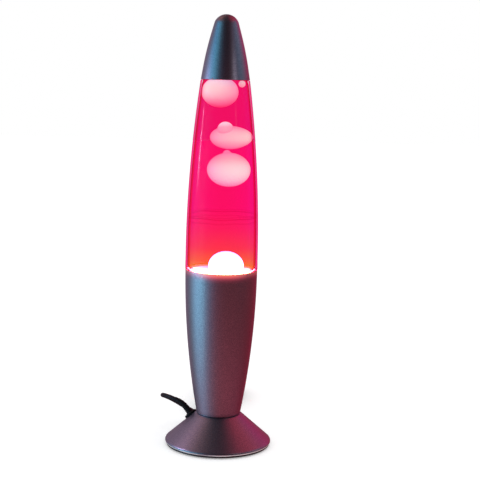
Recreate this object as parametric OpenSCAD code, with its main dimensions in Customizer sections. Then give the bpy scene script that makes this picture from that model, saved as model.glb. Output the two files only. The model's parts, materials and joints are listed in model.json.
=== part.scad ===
// Lava lamp: metal foot and cup, E14 bulb, glass bottle with wax, metal cap, mains lead with switch and plug.
// Origin: centre of the footprint on the table. +Z is up, the front of the lamp faces -Y.

/* [Overall] */
// Total height of the lamp
lamp_h = 410; // [405:0.5:414]
// Radius of the foot at its rim
foot_r = 51; // [50:0.5:52]
// Wall of the spun metal parts
metal_wall = 1.2; // [1:0.1:1.4]

/* [Foot and cup] */
// Height of the foot's rolled rim above the table
rim_z = 3; // [3:0.1:3.4]
// Height at which the cup stands on the foot
seam_z = 31; // [30.5:0.1:31.5]
// Radius of the foot's top deck
deck_r = 21.5; // [21.2:0.1:21.8]
// Height of the cup's rim
cup_rim_z = 171.6; // [171.2:0.1:171.8]
// Radius of the cup at its rim
cup_rim_r = 34.2; // [34.2:0.05:34.4]
// Radius of curvature of the cup's side
cup_bow = 750; // [740:5:770]

/* [Bottle] */
// Largest radius of the glass
glass_r = 34.4; // [34.3:0.05:34.5]
// Wall of the glass
glass_wall = 1.8; // [1.6:0.1:2]
// Underside of the glass
glass_z = 145.1; // [145.05:0.05:145.3]
// Height of the widest part of the glass
glass_waist_z = 185; // [180:1:190]
// Radius of curvature of the glass above the waist
glass_bow = 1200; // [1190:5:1220]
// Height of the ledge that carries the cap
ledge_z = 349.9; // [349.8:0.05:349.95]
// Level of the liquid
liquid_z = 357; // [354:0.5:358]
// Level of the wax pool
pool_z = 170; // [166:0.5:170.5]

/* [Cap] */
// Height of the cap's rim
cap_rim_z = 350; // [350:0.05:350.1]
// Radius of the cap at its rim
cap_rim_r = 22.9; // [22.8:0.05:23]
// Radius of the cap's round tip
cap_tip_r = 12.2; // [12:0.1:12.4]
// Wall of the cap
cap_wall = 1; // [0.9:0.1:1.1]

/* [Bulb and holder] */
// Radius of the reflector bulb
bulb_r = 19.5; // [19:0.1:19.5]
// Height of the bulb's centre contact
contact_z = 66; // [66:0.1:66.3]
// Top of the bulb at rest
bulb_top_z = 133; // [131:0.5:134]
// Radius of the lampholder
holder_r = 13.5; // [13:0.1:14]

/* [Lead] */
// Diameter of the mains lead
lead_d = 4.4; // [4.2:0.1:4.4]
// Length of the hank's straight runs
hank_run = 27; // [26:0.5:28]
// Height of the in-line switch
switch_h = 16; // [15.5:0.5:17]

/* [Hidden] */
$fn = 96;
gap = 0.05;
metal_colour = [0.30, 0.30, 0.36];
black = [0.03, 0.03, 0.035];

// ---- foot and cup ----
rim_h = 1.6;
cone_low = [foot_r - 0.7, rim_z + rim_h + 0.9];
cone_high = [deck_r, seam_z];
cone_dir = (cone_low - cone_high) / norm(cone_low - cone_high);
cone_out = [-cone_dir[1], cone_dir[0]];
tube_r = 5;
tube_bore_r = 3.6;
tube_hole_r = tube_r + 0.2;
plate_z = 1.2;
plate_r = foot_r - 1;
standoff_ring = 16;
screw_r = 1.45;
seat_z = 143;
seat_h = 2;

function cup_r(z) = cup_rim_r - pow(cup_rim_z - z, 2) / (2 * cup_bow);
cup_levels = [for (i = [0:28]) seam_z + (cup_rim_z - seam_z) * i / 28];

module revolve(points) rotate_extrude() polygon(points);

module foot_outline(shift) {
    a = cone_high - shift * cone_out;
    b = cone_low - shift * cone_out;
    polygon([
        [0, seam_z - shift], [deck_r - shift * 0.4, seam_z - shift], b,
        [foot_r - shift - 0.2, rim_z + rim_h + 0.45], [foot_r - shift, rim_z + rim_h],
        [foot_r - shift, shift > 0 ? rim_z - 1 : rim_z], [0, shift > 0 ? rim_z - 1 : rim_z]
    ]);
}

module foot_solid() rotate_extrude() foot_outline(0);

module foot_shell() color(metal_colour) difference() {
    foot_solid();
    rotate_extrude() foot_outline(metal_wall);
    cylinder(r = tube_hole_r, h = 60);
    at_gland() cylinder(r = 4.4, h = 12, center = true);
}

module base_shell() color(metal_colour) difference() {
    revolve(concat(
        [[0, seam_z]],
        [for (z = cup_levels) [cup_r(z), z]],
        [[0, cup_rim_z]]
    ));
    revolve(concat(
        [[0, seam_z + metal_wall], [cup_r(cup_levels[1]) - metal_wall - 1, seam_z + metal_wall]],
        [for (z = cup_levels) if (z > seam_z + 4) [cup_r(z) - metal_wall, z]],
        [[cup_r(cup_rim_z) - metal_wall, cup_rim_z + 1], [0, cup_rim_z + 1]]
    ));
    translate([0, 0, seam_z - 1]) cylinder(r = tube_hole_r, h = 10);
}

module ring(outer, inner, low, high) translate([0, 0, low]) difference() {
    cylinder(r = outer, h = high - low);
    translate([0, 0, -1]) cylinder(r = inner, h = high - low + 2);
}

module bottle_seat() color([0.5, 0.5, 0.52])
    ring(cup_r(seat_z) - metal_wall - gap, 25, seat_z, seat_z + seat_h);

module threaded_tube() color("goldenrod")
    ring(tube_r, tube_bore_r, 20, seam_z + 7);

module tube_washer() color("silver")
    ring(10, tube_hole_r, seam_z - metal_wall - 1, seam_z - metal_wall);

module tube_nut() color("silver") translate([0, 0, seam_z - metal_wall - 5]) difference() {
    cylinder(r = 8.1, h = 4, $fn = 6);
    translate([0, 0, -1]) cylinder(r = tube_r + gap, h = 6);
}

module standoffs() color("silver") for (a = [90, 210, 330])
    rotate(a) translate([standoff_ring, 0, 0]) ring(3, screw_r + gap, rim_z, seam_z - metal_wall);

module base_plate() color(black) difference() {
    translate([0, 0, plate_z]) cylinder(r = plate_r, h = rim_z - plate_z);
    for (a = [90, 210, 330]) rotate(a) translate([standoff_ring, 0, 0])
        cylinder(r = screw_r + 0.3, h = 10, center = true);
    for (a = [15:30:345]) rotate(a) translate([29, 0, 0]) cylinder(r = 2.5, h = 10, center = true);
    cylinder(r = 4, h = 10, center = true);
}

module base_plate_screws() color("silver") for (a = [90, 210, 330])
    rotate(a) translate([standoff_ring, 0, 0]) {
        translate([0, 0, 0.2]) cylinder(r = 2.8, h = plate_z - 0.2);
        translate([0, 0, 0.6]) cylinder(r = screw_r, h = 12);
    }

module anti_slip_ring() color([0.08, 0.08, 0.08]) ring(46, 38, 0, plate_z);

// ---- lampholder ----
cap_top_z = 52;
floor_z = 58;
bore_z = 61;
skirt_z = 87;
shell_r = 7.85;

module lampholder_cap() color(black) difference() {
    translate([0, 0, seam_z + metal_wall]) cylinder(r = holder_r, h = cap_top_z - seam_z - metal_wall);
    translate([0, 0, seam_z + metal_wall + 3]) cylinder(r = holder_r - 1.5, h = 40);
    cylinder(r = tube_r + gap, h = 60);
}

module lampholder_body() color(black) difference() {
    translate([0, 0, cap_top_z]) cylinder(r = holder_r, h = skirt_z - cap_top_z);
    translate([0, 0, cap_top_z - 1]) cylinder(r = holder_r - 1.5, h = floor_z - cap_top_z + 1);
    translate([0, 0, bore_z]) cylinder(r = shell_r + gap, h = 60);
    translate([0, 0, 84]) cylinder(r = 8.8, h = 10);
    for (x = [-6, 6]) translate([x, 0, floor_z - 1]) cylinder(r = 1.2, h = 5);
}

module lampholder_shell() color("goldenrod") difference() {
    translate([0, 0, bore_z]) cylinder(r = shell_r, h = 22);
    translate([0, 0, bore_z + 0.6]) cylinder(r = 7.2, h = 30);
    translate([0, 0, bore_z - 1]) cylinder(r = 4.5, h = 4);
}

module lampholder_contact() color("goldenrod") {
    translate([0, 0, bore_z]) cylinder(r = 3.2, h = 0.8);
    translate([0, 0, bore_z + 0.5]) cylinder(r = 1.8, h = contact_z - bore_z - 0.5 - gap);
}

module lampholder_terminals() color("goldenrod") for (x = [-6, 6]) {
    translate([x - 2, -2.5, floor_z - 3.5]) cube([4, 5, 3.5]);
    translate([x, 0, floor_z - 0.5]) cylinder(r = 1.1, h = 3.5);
}

// ---- swept tubes ----
function unit(v) = v / norm(v);
function tangent(p, i) = unit(p[min(i + 1, len(p) - 1)] - p[max(i - 1, 0)]);
function side(t) = unit(cross(t, [0, 0, 1]));
function blend(a, b, t) = a + (b - a) * t;

module tube_along(p, r_start, r_end, sides = 10) {
    n = len(p);
    rings = [
        for (i = [0:n - 1])
            let (t = tangent(p, i), u = side(t), v = cross(u, t), r = blend(r_start, r_end, i / (n - 1)))
            for (k = [0:sides - 1]) p[i] + r * (cos(360 * k / sides) * u + sin(360 * k / sides) * v)
    ];
    walls = [
        for (i = [0:n - 2]) for (k = [0:sides - 1])
            let (a = i * sides + k, b = i * sides + (k + 1) % sides)
            each [[a, b, a + sides], [b, b + sides, a + sides]]
    ];
    first = [[for (k = [sides - 1:-1:0]) k]];
    last = [[for (k = [0:sides - 1]) (n - 1) * sides + k]];
    polyhedron(points = rings, faces = concat(walls, first, last), convexity = 6);
}

// ---- lead entry ----
gland_azimuth = 158;
gland_along = 9.2;
gland_rz = cone_high + gland_along * cone_dir;
gland_tilt = atan2(cone_out[0], cone_out[1]);
flange_r = 6.5;
flange_h = 3;

module at_gland() rotate(gland_azimuth) translate([gland_rz[0], 0, gland_rz[1]])
    rotate([0, gland_tilt, 0]) children();

boot_route = [
    [-27.2, 11, 26], [-29, 11.7, 28.3], [-31.2, 12.6, 30.8], [-34.4, 14.1, 33.9], [-38.6, 16.3, 36.3],
    [-43.2, 19.1, 37.6]
];
lead_route = [
    [-43.2, 19.1, 37.6], [-47.6, 22.6, 38.4], [-51.6, 27, 38.4], [-54.6, 32.4, 37.6], [-56, 38.6, 36],
    [-55.4, 45, 33.8], [-52.4, 50.8, 31], [-47.8, 55.4, 27.6], [-42.2, 59.2, 23.4], [-36.2, 62.6, 18.8],
    [-30.2, 66, 14.2], [-24.6, 70, 10], [-19.8, 74.8, 6.8], [-16, 80.4, 5], [-13.8, 86.2, 4.6], [-13, 91.8, 5]
];
feed_route = [
    [-13, 134.2, 5], [-13.2, 140, 4.6], [-14.2, 146, 3.8], [-15.4, 152, 3.3], [-16, 158, 3.2],
    [-16, 165, 3.2], [-16, 173, 3.2]
];
tail_route = [
    [23.6, 184, 20.8], [23.3, 179.7, 21.2], [22.4, 175.5, 22.3], [20.9, 171.4, 24], [18.9, 167.6, 25.1],
    [16.4, 164.1, 25.5]
];
inner_route = [
    [-22.2, 9, 19.4], [-20.6, 8.3, 15.6], [-18.2, 7.4, 11.6], [-15, 6, 8.6], [-11.4, 4.6, 7], [-8.4, 3.4, 6.6]
];

module strain_relief() color(black) {
    difference() {
        at_gland() {
            translate([0, 0, -0.9]) cylinder(r = flange_r, h = flange_h + 0.9);
        }
        foot_solid();
    }
    difference() {
        at_gland() translate([0, 0, -5]) cylinder(r = 4.2, h = 6);
        at_gland() translate([0, 0, -6]) cylinder(r = lead_d / 2 + gap, h = 6);
    }
    tube_along(boot_route, 3.3, 2.45, 12);
}

module inner_cord() color([0.05, 0.05, 0.05]) tube_along(inner_route, lead_d / 2, lead_d / 2, 10);

clamp_x = -15.4;
clamp_y = 6.2;

module cord_clamp() color([0.85, 0.85, 0.8]) translate([clamp_x, clamp_y, rim_z]) rotate(-22)
    difference() {
        translate([-3.5, -9, 0]) cube([7, 18, 11]);
        for (y = [-6.6, 6.6]) translate([0, y, 2]) cylinder(r = 1.25, h = 12);
        for (s = [-1, 1]) translate([-4, s * 6.6 - (s > 0 ? 2.6 : 3), 7]) cube([8, 5.6, 6]);
    }

module clamp_screws() color("silver") translate([clamp_x, clamp_y, rim_z]) rotate(-22)
    for (y = [-6.6, 6.6]) translate([0, y, 0]) {
        translate([0, 0, 3]) cylinder(r = 1.2, h = 4);
        translate([0, 0, 7]) cylinder(r = 2.2, h = 1.6);
    }

function wire_route(s) = [
    [-8.4, 3.4 + s, 6.6], [-5.6, 2.2 + s, 8.4], [-2.6 + 0.4 * s, 0.9 + 0.8 * s, 12.4], [s * 0.4, s, 17],
    [s * 0.9, s * 0.7, 22], [s * 1.4, 0, 30], [s * 1.6, 0, 40], [s * 3.2, 0, 46], [s * 4.6, 0, 50.4],
    [s * 5, 0, 54.4]
];

module wire_live() color([0.45, 0.25, 0.12]) tube_along(wire_route(1.2), 0.8, 0.8, 8);

module wire_neutral() color([0.15, 0.3, 0.7]) tube_along(wire_route(-1.2), 0.8, 0.8, 8);

// ---- free lead: switch, hank, tie and plug ----
switch_y = 90;
switch_l = 46;
switch_w = 20;
switch_x = -13;
switch_split = 8;
switch_cord_z = 5;
case_wall = 1.8;
rocker_y = switch_y + switch_l / 2;
rocker_z = switch_h - 2.4;
rocker_l = 15;
rocker_w = 10;
rocker_tilt = 7;
trunnion_r = 1.2;
trunnion_l = 1.6;

module rounded_slab(l, w, h, r) {
    translate([-w / 2, r, 0]) cube([w, l - 2 * r, h]);
    translate([-w / 2 + r, 0, 0]) cube([w - 2 * r, l, h]);
    for (x = [-w / 2 + r, w / 2 - r]) for (y = [r, l - r]) translate([x, y, 0]) cylinder(r = r, h = h);
}

module cord_notches() for (y = [switch_y - 1, switch_y + switch_l - 4])
    translate([switch_x, y, switch_cord_z]) rotate([-90, 0, 0]) cylinder(r = lead_d / 2 + 0.1, h = 5);

module switch_lower_case() color([0.06, 0.06, 0.07]) difference() {
    translate([switch_x, switch_y, 0]) rounded_slab(switch_l, switch_w, switch_split, 5);
    translate([switch_x, switch_y + case_wall, case_wall])
        rounded_slab(switch_l - 2 * case_wall, switch_w - 2 * case_wall, 20, 4);
    cord_notches();
    for (y = [switch_y + 5.5, switch_y + switch_l - 5.5]) translate([switch_x + 6, y, -1])
        cylinder(r = 1.25, h = 10);
}

// The rocker turns on two trunnions in bearing blocks under the top of the case.
module switch_upper_case() color([0.06, 0.06, 0.07]) difference() {
    union() {
        difference() {
            translate([switch_x, switch_y, switch_split])
                rounded_slab(switch_l, switch_w, switch_h - switch_split, 5);
            translate([switch_x, switch_y + case_wall, switch_split - 1]) rounded_slab(
                switch_l - 2 * case_wall, switch_w - 2 * case_wall, switch_h - switch_split + 1 - case_wall, 4
            );
        }
        translate([switch_x - switch_w / 2 + case_wall / 2, rocker_y - 3, rocker_z - 3])
            cube([switch_w - case_wall, 6, 3 + case_wall]);
    }
    translate([switch_x - rocker_w / 2 - 0.4, rocker_y - rocker_l / 2 - 0.6, switch_split])
        cube([rocker_w + 0.8, rocker_l + 1.2, 20]);
    translate([switch_x, rocker_y, rocker_z]) trunnions(gap);
}

module trunnions(clear) rotate([0, 90, 0])
    cylinder(r = trunnion_r + clear, h = rocker_w + 2 * trunnion_l + 4 * clear, center = true);

module switch_rocker() color([0.12, 0.12, 0.13])
    translate([switch_x, rocker_y, rocker_z]) rotate([-rocker_tilt, 0, 0]) {
        difference() {
            translate([-rocker_w / 2, -rocker_l / 2, -3]) cube([rocker_w, rocker_l, 6.4]);
            translate([-rocker_w, 0, 34.6]) rotate([0, 90, 0]) cylinder(r = 32, h = 2 * rocker_w);
        }
        trunnions(0);
    }

module switch_terminals() color("goldenrod") for (y = [rocker_y - 14, rocker_y + 10])
    translate([switch_x - 3, y, case_wall]) cube([6, 4, 2.4]);

module switch_screws() color("silver") for (y = [switch_y + 5.5, switch_y + switch_l - 5.5])
    translate([switch_x + 6, y, 0.1]) cylinder(r = 1.2, h = 9);

module power_cord() color(black) tube_along(lead_route, lead_d / 2, lead_d / 2, 10);

module switch_cord() color(black) tube_along(feed_route, lead_d / 2, lead_d / 2, 10);

lane_in = 3 * lead_d;
lane_out = lane_in + lead_d;
hank_x = 6;
hank_low_y = 157;
hank_z = 1;
hank_h = 4 * lead_d;

module stadium(r, h) translate([hank_x, hank_low_y, 0]) {
    translate([-r, 0, 0]) cube([2 * r, hank_run, h]);
    cylinder(r = r, h = h);
    translate([0, hank_run, 0]) cylinder(r = r, h = h);
}

module cord_hank() color(black) difference() {
    translate([0, 0, hank_z]) stadium(lane_out + lead_d / 2, hank_h);
    stadium(lane_in - lead_d / 2, 40);
}

module tie_outline(t) {
    left = hank_x - lane_out - 1.5 * lead_d - 0.2 - t;
    right = hank_x + lane_out + lead_d / 2 + 0.2 + t;
    top = hank_z + hank_h + 0.1 + t;
    polygon([
        [left, hank_z - 0.1 - t], [right, hank_z - 0.1 - t], [right, top + 5], [right - 1.6, top + 7],
        [right - 7, top + 7], [right - 9, top + 4], [right - 12, top], [left, top]
    ]);
}

module hank_tie() color([0.1, 0.1, 0.1]) translate([0, hank_low_y + hank_run - 2, 0]) rotate([90, 0, 0])
    linear_extrude(8) difference() {
        tie_outline(0.85);
        tie_outline(0);
    }

module plug_tail() color(black) tube_along(tail_route, lead_d / 2, lead_d / 2, 10);

plug_at = [16.4, 164.1, 25.5];
plug_turn = 140;
plug_l = 30;
plug_h = 13.6;
pin_gap = 9.3;

module at_plug() translate(plug_at) rotate(plug_turn) children();

module plug_body() color([0.05, 0.05, 0.055]) at_plug() {
    rotate([-90, 0, 0]) cylinder(r1 = 3, r2 = 4.6, h = 8);
    translate([0, 0, -plug_h / 2]) linear_extrude(plug_h) polygon([
        [-4, 6], [-9, 7.5], [-17, 19], [-17.6, 21.5], [-13.2, plug_l],
        [13.2, plug_l], [17.6, 21.5], [17, 19], [9, 7.5], [4, 6]
    ]);
}

module plug_pins() color("silver") at_plug() for (x = [-pin_gap, pin_gap]) translate([x, plug_l, 0])
    rotate([-90, 0, 0]) {
        cylinder(r = 2, h = 18);
        translate([0, 0, 18]) cylinder(r1 = 2, r2 = 1, h = 1);
    }

// ---- bulb ----
module bulb_contact() color("silver") translate([0, 0, contact_z]) cylinder(r = 2.2, h = 0.9);

module bulb_insulator() color(black) translate([0, 0, contact_z + 0.9]) cylinder(r1 = 3.4, r2 = 5.6, h = 1.6);

module bulb_screw_shell() color("silver") {
    low = contact_z + 2.5;
    difference() {
        revolve(concat(
            [[0, low]],
            [for (i = [0:24]) [6.6 + 0.25 * cos(i * 120), low + 0.4 + i * 0.62]],
            [[6.6, low + 17.5], [0, low + 17.5]]
        ));
        translate([0, 0, low + 0.6]) cylinder(r = 6, h = 30);
    }
}

bulb_neck_z = contact_z + 20;

module bulb_outline(t) polygon([
    [0, bulb_neck_z + (t > 0 ? -1 : 0)], [6 - t, bulb_neck_z + (t > 0 ? -1 : 0)], [7.2 - t, bulb_neck_z + 6],
    [9.6 - t, bulb_neck_z + 13], [13.6 - t, bulb_neck_z + 20], [17.4 - t, bulb_neck_z + 27],
    [bulb_r - 0.5 - t, bulb_neck_z + 32], [bulb_r - t, bulb_neck_z + 36],
    [bulb_r - 0.6 - t, bulb_top_z - 8 - t / 2], [bulb_r - 2.6 - t, bulb_top_z - 5 - t],
    [14 - t, bulb_top_z - 2.4 - t],
    [8 - t, bulb_top_z - 0.8 - t], [0, bulb_top_z - t]
]);

module bulb_glass() color([0.9, 0.9, 0.9, 0.5]) difference() {
    rotate_extrude() bulb_outline(0);
    rotate_extrude() bulb_outline(0.8);
}

module bulb_stem() color([0.85, 0.9, 0.9]) translate([0, 0, contact_z + 4]) {
    cylinder(r = 4.8, h = 12);
    cylinder(r = 2, h = 34);
}

module filament() color([0.6, 0.6, 0.6]) {
    for (x = [-5, 5]) hull() {
        translate([x / 4, 0, contact_z + 38.5]) sphere(r = 0.4, $fn = 12);
        translate([x, 0, contact_z + 46]) sphere(r = 0.4, $fn = 12);
    }
    translate([-5.2, 0, contact_z + 46]) rotate([0, 90, 0]) cylinder(r = 0.7, h = 10.4);
}

// ---- bottle ----
insert_r = cup_r(glass_z) - metal_wall - 0.4;
step_z = cup_rim_z + 0.25;
neck_r = 12.2;
lip_r = 13;
mouth_z = 377;
mouth_bore_r = 9.5;

function glass_side(z) = glass_r - 0.1 - pow(z - glass_waist_z, 2) / (2 * glass_bow);
glass_levels = [for (i = [0:30]) glass_waist_z + (ledge_z - glass_waist_z) * i / 30];

module glass_outline() polygon(concat(
    [[0, glass_z], [insert_r - 2.5, glass_z], [insert_r - 0.8, glass_z + 0.8], [insert_r, glass_z + 2.5]],
    [[insert_r, step_z], [glass_r - 0.3, step_z], [glass_r, step_z + 0.6], [glass_r, step_z + 6]],
    [for (z = glass_levels) [glass_side(z), z]],
    [[21, ledge_z], [19.6, ledge_z + 4], [15.6, ledge_z + 12], [neck_r, ledge_z + 16], [neck_r, mouth_z - 4]],
    [[lip_r, mouth_z - 3.4], [lip_r, mouth_z - 0.6], [lip_r - 0.6, mouth_z], [0, mouth_z]]
));

// The inside of the bottle up to a given level, a little smaller where a filling has to clear the glass.
module hollow_outline(clear, low, top) intersection() {
    polygon(concat(
        [[0, glass_z + 3], [insert_r - glass_wall - 2 - clear, glass_z + 3]],
        [[insert_r - glass_wall - clear, glass_z + 5], [insert_r - glass_wall - clear, step_z]],
        [[glass_r - glass_wall - 0.2 - clear, step_z + 3]],
        [for (z = glass_levels) if (z < ledge_z - 4) [glass_side(z) - glass_wall - clear, z]],
        [[20.6 - clear, ledge_z - 1], [18.4 - clear, ledge_z + 3.4], [14 - clear, ledge_z + 11.4]],
        [[mouth_bore_r + 0.6 - clear, ledge_z + 16], [mouth_bore_r - clear, ledge_z + 20]],
        [[mouth_bore_r - clear, mouth_z + 1], [0, mouth_z + 1]]
    ));
    translate([0, low]) square([60, top - low]);
}

module glass_bottle() color([0.95, 0.1, 0.4, 0.35]) difference() {
    rotate_extrude() glass_outline();
    rotate_extrude() hollow_outline(0, glass_z, mouth_z + 2);
}

// A blob of wax: an ellipsoid of revolution.
module blob(at, width, height) translate(at) rotate_extrude() polygon([
    for (a = [-90:7.5:90]) [width * max(cos(a), 0), height * sin(a)]
]);

large_at = [4.9, -5.5, 267.5];
large_r = 20.9;
large_h = 16.9;
nub_at = large_at + [-2, 0, 13.6];
nub_r = 4;
middle_at = [6.6, -1.5, 296.5];
middle_r = 20.3;
middle_h = 11.2;
bead_at = [1, -11, 304.5];
bead_r = 7.8;
top_at = [-4.7, 0, 338.5];
top_r = 17.5;
top_h = 14.5;
droplet_at = [15.5, -7, 346.5];
droplet_r = 3.4;
dome_at = [4.3, -4, pool_z + 5];
dome_r = 17.1;
dome_h = 14.3;

module blob_large_shape(clear = 0) {
    blob(large_at, large_r + clear, large_h + clear);
    translate(nub_at) sphere(r = nub_r + clear);
}

module blob_middle_shape(clear = 0) blob(middle_at, middle_r + clear, middle_h + clear);

module bead_shape(clear = 0) translate(bead_at) sphere(r = bead_r + clear);

module blob_top_shape(clear = 0) blob(top_at, top_r + clear, top_h + clear);

module droplet_shape(clear = 0) translate(droplet_at) sphere(r = droplet_r + clear);

module dome_shape(clear = 0) blob(dome_at, dome_r + clear, dome_h + clear);

module pool_shape() {
    rotate_extrude() hollow_outline(gap, glass_z, pool_z);
    dome_shape();
}

module coil_shape() translate([0, 0, 151]) rotate_extrude() translate([24, 0]) circle(r = 1.4, $fn = 24);

module lamp_liquid() color([1, 0.1, 0.35, 0.4]) difference() {
    rotate_extrude() hollow_outline(gap, pool_z + gap, liquid_z);
    dome_shape(gap);
    blob_large_shape(gap);
    blob_middle_shape(gap);
    bead_shape(gap);
    blob_top_shape(gap);
    droplet_shape(gap);
}

module wax_pool() color([1, 0.95, 0.9]) difference() {
    pool_shape();
    coil_shape();
}

module wax_blob_large() color([1, 0.75, 0.8]) blob_large_shape();

module wax_blob_middle() color([1, 0.75, 0.8]) difference() {
    blob_middle_shape();
    bead_shape(gap);
}

module wax_bead() color([1, 0.78, 0.82]) bead_shape();

module wax_blob_top() color([1, 0.65, 0.75]) blob_top_shape();

module wax_droplet() color([1, 0.65, 0.75]) droplet_shape();

module wire_coil() color("silver") coil_shape();

module crown_cap() color("silver") difference() {
    revolve([
        [0, mouth_z + 1], [13, mouth_z + 1], [14.2, mouth_z], [15.4, mouth_z - 4.6], [15.8, mouth_z - 5.4],
        [0, mouth_z - 5.4]
    ]);
    revolve([
        [0, mouth_z + 0.6], [12.9, mouth_z + 0.6], [13.7, mouth_z - 0.2], [15, mouth_z - 4.8],
        [15.4, mouth_z - 6], [0, mouth_z - 6]
    ]);
}

module crown_liner() color([0.9, 0.9, 0.88]) translate([0, 0, mouth_z]) cylinder(r = 12.7, h = 0.6);

// ---- cap ----
tip_centre_z = lamp_h - cap_tip_r;

// Side of the cap: a shallow curve from the rim up to where the round tip takes over.
tip_angle = 26;
tip_join = [cap_tip_r * cos(tip_angle), tip_centre_z + cap_tip_r * sin(tip_angle)];

function cap_side(t) = blend([cap_rim_r, cap_rim_z], tip_join, t) + [1.1 * sin(180 * t), 0];

module cap_outline(t) polygon(concat(
    [[0, cap_rim_z - (t > 0 ? 1 : 0)], [cap_rim_r - t, cap_rim_z - (t > 0 ? 1 : 0)]],
    [for (i = [0:12]) cap_side(i / 12) - [t, 0]],
    [for (a = [tip_angle + 8:8:82]) [(cap_tip_r - t) * cos(a), tip_centre_z + (cap_tip_r - t) * sin(a)]],
    [[0, lamp_h - t]]
));

module top_cap() color(metal_colour) difference() {
    rotate_extrude() cap_outline(0);
    rotate_extrude() cap_outline(cap_wall);
}

foot_shell();
base_shell();
bottle_seat();
threaded_tube();
tube_washer();
tube_nut();
lampholder_cap();
lampholder_body();
lampholder_shell();
lampholder_contact();
lampholder_terminals();
wire_live();
wire_neutral();
standoffs();
base_plate();
base_plate_screws();
anti_slip_ring();
strain_relief();
inner_cord();
cord_clamp();
clamp_screws();
power_cord();
switch_lower_case();
switch_upper_case();
switch_rocker();
switch_terminals();
switch_screws();
switch_cord();
cord_hank();
hank_tie();
plug_tail();
plug_body();
plug_pins();
bulb_contact();
bulb_insulator();
bulb_screw_shell();
bulb_glass();
bulb_stem();
filament();
glass_bottle();
lamp_liquid();
wax_pool();
wax_blob_large();
wax_blob_middle();
wax_bead();
wax_blob_top();
wax_droplet();
wire_coil();
crown_cap();
crown_liner();
top_cap();
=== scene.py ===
"""Lava lamp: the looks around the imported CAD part. Metres, +Z up, the front of the lamp faces -Y."""

import json
import math

import bmesh
import bpy
from mathutils import Matrix, Vector


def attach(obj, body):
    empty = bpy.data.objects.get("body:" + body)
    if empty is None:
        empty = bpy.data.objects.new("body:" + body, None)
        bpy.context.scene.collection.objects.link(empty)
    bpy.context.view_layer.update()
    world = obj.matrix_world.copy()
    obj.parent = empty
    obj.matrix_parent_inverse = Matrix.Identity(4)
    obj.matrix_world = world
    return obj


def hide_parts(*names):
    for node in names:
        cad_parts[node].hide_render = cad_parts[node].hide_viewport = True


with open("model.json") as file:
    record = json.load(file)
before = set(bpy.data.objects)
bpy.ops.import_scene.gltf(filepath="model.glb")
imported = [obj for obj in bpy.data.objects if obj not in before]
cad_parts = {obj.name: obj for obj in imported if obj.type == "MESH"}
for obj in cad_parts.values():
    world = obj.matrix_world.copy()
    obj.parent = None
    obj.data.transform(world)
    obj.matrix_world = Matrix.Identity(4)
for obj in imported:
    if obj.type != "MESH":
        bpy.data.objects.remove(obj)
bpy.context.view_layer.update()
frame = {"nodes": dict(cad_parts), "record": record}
MM = 0.001
scene = bpy.context.scene
scene.view_settings.view_transform = "Standard"


# ---- camera ----

CAMERA_DISTANCE = 1.107
CAMERA_HEIGHT = 0.358
CAMERA_PITCH = math.radians(8.14)
CAMERA_YAW = math.radians(0.885)
CAMERA_ROLL = math.radians(1.35)
CAMERA_LENS = 88.4


def make_camera():
    data = bpy.data.cameras.new("camera")
    data.lens = CAMERA_LENS
    data.sensor_width = 36
    data.clip_start = 0.05
    camera = bpy.data.objects.new("camera", data)
    turn = (
        Matrix.Rotation(-CAMERA_YAW, 4, "Z")
        @ Matrix.Rotation(math.pi / 2 - CAMERA_PITCH, 4, "X")
        @ Matrix.Rotation(CAMERA_ROLL, 4, "Z")
    )
    camera.matrix_world = Matrix.Translation((0, -CAMERA_DISTANCE, CAMERA_HEIGHT)) @ turn
    scene.collection.objects.link(camera)
    scene.camera = camera


make_camera()


# ---- material helpers ----

GRAIN_DEPTH = 0.05 * MM
RIM_GLOW = 9 * MM
WHITE = [1, 1, 1, 1]
BLACK = [0, 0, 0, 1]


def linear(r, g, b):
    """An sRGB colour from 0 to 255 as the linear RGBA that shaders take."""
    values = [c / 255 for c in (r, g, b)]
    return [c / 12.92 if c <= 0.04045 else ((c + 0.055) / 1.055) ** 2.4 for c in values] + [1]


def new_material(name):
    material = bpy.data.materials.new(name)
    material.use_nodes = True
    tree = material.node_tree
    shader = tree.nodes["Principled BSDF"]
    return material, tree, shader


def add(tree, kind, **settings):
    node = tree.nodes.new(kind)
    for key, value in settings.items():
        if key in node.inputs:
            node.inputs[key].default_value = value
        else:
            setattr(node, key, value)
    return node


def object_coords(tree):
    return add(tree, "ShaderNodeTexCoord").outputs["Object"]


def noise(tree, scale, detail=3, roughness=0.5, coords=None):
    node = add(tree, "ShaderNodeTexNoise", Scale=scale, Detail=detail, Roughness=roughness)
    tree.links.new(coords or object_coords(tree), node.inputs["Vector"])
    return node.outputs["Fac"]


def ramp(tree, factor, stops):
    """A colour ramp with the stops (position, colour)."""
    node = add(tree, "ShaderNodeValToRGB")
    elements = node.color_ramp.elements
    while len(elements) < len(stops):
        elements.new(0.5)
    for element, (position, colour) in zip(elements, stops):
        element.position = position
        element.color = colour
    tree.links.new(factor, node.inputs["Fac"])
    return node.outputs["Color"]


def span(tree, value, low, high, to_low=0.0, to_high=1.0):
    node = add(tree, "ShaderNodeMapRange")
    for index, number in enumerate((low, high, to_low, to_high), start=1):
        node.inputs[index].default_value = number
    tree.links.new(value, node.inputs[0])
    return node.outputs[0]


def axis(tree, letter, coords=None):
    """One coordinate of the surface point, in metres unless other coordinates are given."""
    split = add(tree, "ShaderNodeSeparateXYZ")
    tree.links.new(coords or object_coords(tree), split.inputs[0])
    return split.outputs[letter]


def height(tree):
    """The height above the table, in metres."""
    return axis(tree, "Z")


def wandering_height(tree, scale, detail, reach):
    """The height with a noise of up to the reach added, in metres."""
    node = add(tree, "ShaderNodeMath", operation="MULTIPLY_ADD")
    tree.links.new(noise(tree, scale, detail=detail), node.inputs[0])
    node.inputs[1].default_value = reach
    tree.links.new(height(tree), node.inputs[2])
    return node.outputs[0]


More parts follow.
